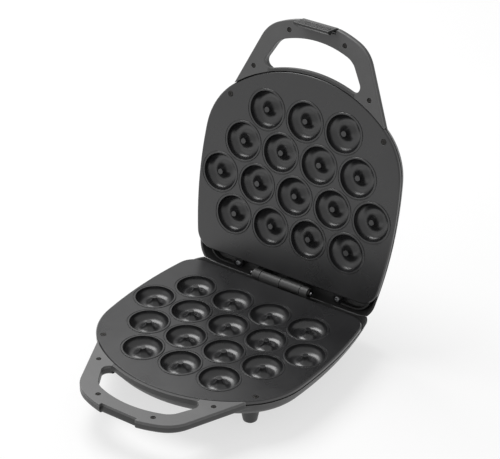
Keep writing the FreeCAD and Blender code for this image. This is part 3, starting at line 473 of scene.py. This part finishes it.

# %% [markdown]
# ** Blackened steel.** The screws in handle, plate and feet are steel that was blackened in a hot salt
# bath, as are the hinge pin's caps. What shows is a dark, slightly oily metal whose edges are paler,
# partly scuffs where a driver or a thumb touched it and partly a painted highlight. A metal takes its
# look from its colour, so only Metallic is set.

# %% Blackened steel
oil_mottle = 0.7        # near 0.2 mm on a real screw, drawn coarser so that it shows
blackened = grained("blackened_steel", ("#2c2b2a", "#3b3a39", "#5d5c5a"), grain_width=oil_mottle,
                    patch_width=4.0, roughness=(0.32, 0.5), relief=0.03, edge_round=0.15,
                    sockets={"Metallic": 1.0})
dress(blackened, *both_halves("plate_screws", "handle_screws", "shield_screws"), "foot_screws",
      "hinge_pin_caps")

# %% [markdown]
# **Zinc-plated steel.** The four screws in the plates' tabs, down beside the hinge, are plain bright
# ones. Zinc plate is a pale blue-grey metal with a cloudy sheen, so its patches are small and its
# roughness wanders.

# %% Zinc-plated steel
plating_grain = 0.6     # near 0.1 mm on a real screw, drawn coarser so that it shows
zinc = grained("zinc_plated_steel", ("#a3a5a8", "#b5b6b8", "#c9cacb"), grain_width=plating_grain,
               patch_width=3.0, roughness=(0.25, 0.4), relief=0.02, edge_round=0.15,
               sockets={"Metallic": 1.0})
dress(zinc, *both_halves("tab_screws"))

# %% [markdown]
# **Drawn steel wire.** The hinge pin and the latch pin are cut from wire that was pulled through a die.
# The die leaves hair lines along the length, so here a Mapping node stretches the grain along X, in
# which both pins lie. Turning each pin's texture by hand would do the same, with more to keep in step.

# %% Drawn wire
hair_line = 0.3         # near 0.05 mm on real wire, drawn coarser so that it shows
hair_stretch = 0.03     # the grain's scale along a pin, where it is 1 across
drawn = grained("drawn_steel_wire", ("#67676a", "#7a7a7c", "#98989a"), grain_width=hair_line,
                patch_width=9.0, roughness=(0.3, 0.45), relief=0.02, edge_round=0.15,
                sockets={"Metallic": 1.0})
tree = drawn["tree"]
along_pin = add_node(tree, "ShaderNodeMapping", {"Scale": (hair_stretch, 1.0, 1.0)},
                     {"Vector": (drawn["place"], "Object")})
tree.links.new(along_pin.outputs["Vector"], drawn["grain"].inputs["Vector"])
dress(drawn, "hinge_pin", "latch_pin")

# %% [markdown]
# **Heat-dulled steel.** A heating tube starts bright and turns with its first hours of use: straw,
# brown and a cold grey, in bands where it ran hotter. Large soft noise between two oxide tints gives
# those bands.

# %% Heating tube
scale_grain = 0.8       # near 0.2 mm on a real tube, drawn coarser so that it shows
dulled = grained("heat_dulled_steel", ("#6a645c", "#7a756e", "#8b8882"), grain_width=scale_grain,
                 patch_width=16.0, roughness=(0.42, 0.6), relief=0.03, edge_round=0.15,
                 sockets={"Metallic": 1.0})
tree = dulled["tree"]
oxide = add_node(tree, "ShaderNodeMix", {"B": linear("#5a4d43")},
                 {"A": (dulled["tone"], "Result"), "Factor": (dulled["patch"], "Fac")},
                 data_type="RGBA")
tree.links.new(oxide.outputs["Result"], dulled["colour"])
dress(dulled, *both_halves("heating_element"))

# %% [markdown]
# **Galvanised sheet.** The heat shields and the element's saddles are pressed from zinc-dipped sheet.
# As the zinc cools it freezes into flat crystals, each a slightly different grey, which cells show
# well.

# %% Galvanised sheet
rolling_grain = 0.8     # near 0.2 mm on real sheet, drawn coarser so that it shows
crystal_width = 7.0
sheet = grained("galvanised_sheet", ("#b2b3b3", "#bdbebf", "#cbcbcb"), grain_width=rolling_grain,
                patch_width=20.0, roughness=(0.35, 0.5), relief=0.03, edge_round=0.15,
                sockets={"Metallic": 1.0})
tree = sheet["tree"]
crystals = add_node(tree, "ShaderNodeTexVoronoi", {"Scale": per_size(crystal_width)},
                    {"Vector": (sheet["place"], "Object")})
spangle = add_node(tree, "ShaderNodeMix", {"B": linear("#8f9192")},
                   {"A": (sheet["tone"], "Result"), "Factor": (crystals, "Color")}, data_type="RGBA")
tree.links.new(spangle.outputs["Result"], sheet["colour"])
dress(sheet, *both_halves("heat_shield", "element_saddles"))

# %% [markdown]
# **Small electrical pieces.** Inside the shells sit the parts that nobody is meant to see: a brown
# phenolic thermostat, white steatite terminal blocks with a thin glaze, and silicone sleeving on the
# leads. Each is a grained finish with its own tones and the index of its own stuff.

# %% Electrical pieces
filler_grain = 0.9      # wood flour near 0.2 mm, drawn coarser so that it shows
glaze_grain = 0.7       # pinholes near 0.1 mm, drawn coarser so that they show
sleeve_grain = 0.6      # chalk near 0.05 mm, drawn coarser so that it shows
brown = grained("brown_phenolic", ("#43301f", "#523c29", "#664d36"), grain_width=filler_grain,
                patch_width=8.0, roughness=(0.4, 0.55), relief=0.05, edge_round=0.3,
                sockets={"IOR": 1.6})
dress(brown, *both_halves("thermostat"))
steatite = grained("glazed_steatite", ("#dcd8cd", "#e6e2d8", "#eeebe3"), grain_width=glaze_grain,
                   patch_width=6.0, roughness=(0.22, 0.38), relief=0.03, edge_round=0.3,
                   sockets={"IOR": 1.54})
dress(steatite, *both_halves("terminal_block"))
silicone = grained("silicone_sleeving", ("#c9c3b4", "#d4cfc1", "#dcd8cb"), grain_width=sleeve_grain,
                   patch_width=12.0, roughness=(0.5, 0.62), relief=0.04, edge_round=0.3,
                   sockets={"IOR": 1.41})
dress(silicone, *both_halves("element_leads"), "mains_leads")

# %% [markdown]
# **Braided glass sleeve.** The thermal fuse wears a sleeve braided from glass yarn, which stands the
# heat. Real strands could be modelled, but at this size the eye only reads their crossing. Two sets of
# bands, turned a quarter turn apart and multiplied, give the little lozenges, as relief and as shade.

# %% Braided sleeve
yarn_fuzz = 0.5         # filaments near 0.01 mm, drawn coarser so that they show
thread_spacing = 0.9    # about 0.4 mm on a real sleeve, drawn coarser so that it shows
wave_length = 2 * math.pi / 20      # of a band at scale 1
braid = grained("braided_glass_sleeve", ("#cfcabd", "#dbd7cb", "#e2dfd5"), grain_width=yarn_fuzz,
                patch_width=8.0, roughness=(0.6, 0.75), relief=0.05, edge_round=0.3)
tree = braid["tree"]
crossing = []
for turn in (math.pi / 4, -math.pi / 4):
    turned = add_node(tree, "ShaderNodeMapping", {"Rotation": (0.0, 0.0, turn)},
                      {"Vector": (braid["place"], "Object")})
    crossing.append(add_node(tree, "ShaderNodeTexWave",
                             {"Scale": wave_length * per_size(thread_spacing)},
                             {"Vector": (turned, "Vector")}))
weave = add_node(tree, "ShaderNodeMath", {}, {0: (crossing[0], "Fac"), 1: (crossing[1], "Fac")},
                 operation="MULTIPLY")
tree.links.new(weave.outputs["Value"], braid["bump"].inputs["Height"])
shade = add_node(tree, "ShaderNodeMix", {"A": linear("#a9a392")},
                 {"B": (braid["tone"], "Result"), "Factor": (weave, "Value")}, data_type="RGBA")
tree.links.new(shade.outputs["Result"], braid["colour"])
dress(braid, *both_halves("thermal_fuse"))

# %% [markdown]
# **Black rubber.** Pads and cord entry are moulded rubber: dull, a touch lighter where dust has settled
# in the pores, and without any mirror-like shine, so the roughness stays high all over.

# %% Black rubber
pore_width = 0.7        # near 0.1 mm on real rubber, drawn coarser so that it shows
rubber = grained("black_rubber", ("#1c1c1c", "#2a2928", "#383736"), grain_width=pore_width,
                 patch_width=14.0, roughness=(0.7, 0.85), relief=0.08, edge_round=0.2,
                 sockets={"IOR": 1.52})
dress(rubber, *foot_pads, "cord_gland")

# %% [markdown]
# **Lamp lenses.** Two little windows on the lid glow red and green on the working object. They are
# clear tinted polycarbonate with a faint pebbled back that spreads the light, over a small glass lamp.
# Half of the light passes and half comes back in the tint, so that a lens keeps its colour while its
# lamp is off.

# %% Lenses and lamps
pebble_width = 0.8      # near 0.4 mm on a real lens, drawn coarser so that it shows


def clear_tint(name, tones, ior, clearness):
    return grained(name, tones, grain_width=pebble_width, patch_width=5.0, roughness=(0.06, 0.14),
                   relief=0.01, edge_round=0.15,
                   sockets={"Transmission Weight": clearness, "IOR": ior})


red_tint = clear_tint("red_polycarbonate", ("#c8140c", "#d92015", "#dd3228"), 1.585, 0.5)
green_tint = clear_tint("green_polycarbonate", ("#12a02c", "#1cb33a", "#34bd50"), 1.585, 0.5)
lamp_glass = clear_tint("soda_lime_glass", ("#ecebe4", "#f6f5ef", "#f9f8f3"), 1.52, 0.95)
dress(red_tint, "power_lamp_lens")
dress(green_tint, "ready_lamp_lens")
dress(lamp_glass, "indicator_lamps")

# %% [markdown]
# A studio's white surroundings are far brighter to the eye than the light that they throw. The renderer
# can keep the two apart by asking what kind of ray has arrived. This helper sets a strength for light
# that falls on things, one for the camera's view, also through a lens, and one for reflections.

# %% Brightness by kind of ray
def by_ray(tree, lit, seen, mirrored):
    ray = add_node(tree, "ShaderNodeLightPath")
    view = add_node(tree, "ShaderNodeMath", {},
                    {0: (ray, "Is Camera Ray"), 1: (ray, "Is Transmission Ray")}, operation="MAXIMUM")
    base = add_node(tree, "ShaderNodeMath", {1: seen - lit, 2: lit}, {0: (view, "Value")},
                    operation="MULTIPLY_ADD")
    return add_node(tree, "ShaderNodeMath", {1: mirrored - lit},
                    {0: (ray, "Is Glossy Ray"), 2: (base, "Value")}, operation="MULTIPLY_ADD")


white = linear("#ffffff")
world = bpy.data.worlds.new("studio")
bpy.context.scene.world = world
world.use_nodes = True
tree = world.node_tree
tree.nodes.clear()
strength = by_ray(tree, lit=0.4, seen=1.0, mirrored=0.75)
sky = add_node(tree, "ShaderNodeBackground", {"Color": white}, {"Strength": (strength, "Value")})
add_node(tree, "ShaderNodeOutputWorld", links={"Surface": (sky, "Background")})
print("white world with", len(tree.nodes), "nodes")

# %% [markdown]
# **Plain stage.** A pale floor that runs out of the picture keeps the eye on the object and gathers a
# soft shadow. White paper would throw much light up at the sides of the object, so the floor itself is
# a light grey card. Seen by the camera, or in a reflection, it is lifted to white, which puts no more
# light on the object.

# %% Floor
floor_width = 12.0      # in metres
card_cloud = 400.0      # the card's slow drift of tone, in millimetres
bpy.ops.object.select_all(action="DESELECT")
bpy.ops.mesh.primitive_plane_add(size=floor_width, location=(0, 0, 0))
floor = bpy.context.active_object
floor.name = "floor"
card, tree, shader, place = new_material("grey_card", {
    "Roughness": 0.9, "Specular IOR Level": 0.1, "Emission Color": white})
cloud = add_node(tree, "ShaderNodeTexNoise", {"Scale": per_size(card_cloud), "Detail": 1.0},
                 {"Vector": (place, "Object")})
pale = add_node(tree, "ShaderNodeMix", {"A": linear("#9d9d9d"), "B": linear("#a2a2a2")},
                {"Factor": (cloud, "Fac")}, data_type="RGBA")
tree.links.new(pale.outputs["Result"], shader.inputs["Base Color"])
lift = by_ray(tree, lit=0.0, seen=0.66, mirrored=0.86)
tree.links.new(lift.outputs["Value"], shader.inputs["Emission Strength"])
floor.data.materials.append(card)
print("floor", floor.dimensions.x, "m wide")

# %% [markdown]
# **Soft studio light.** In the photograph the flat tops are about twice as bright as the upright sides,
# and nothing throws a hard shadow. A broad lamp overhead on the left does most of the work, and a weak
# one fills the front. The Standard view shows colours as they were written, where a film-like one would
# grey the white floor.

# %% Lamps and view
def soft_lamp(name, place, aim, size, power):
    data = bpy.data.lights.new(name, "AREA")
    data.shape = "SQUARE"
    data.size = size
    data.energy = power
    lamp = bpy.data.objects.new(name, data)
    lamp.location = place
    lamp.rotation_euler = (Vector(aim) - Vector(place)).to_track_quat("-Z", "Y").to_euler()
    bpy.context.scene.collection.objects.link(lamp)
    print(name, power, "W")


middle = Vector((0, 0, 0.1))
soft_lamp("overhead_softbox", (-0.9, 0.3, 1.7), middle, size=1.2, power=28.0)
soft_lamp("front_fill", (-1.2, -1.6, 1.0), middle, size=1.4, power=2.5)
bpy.context.scene.view_settings.view_transform = "Standard"
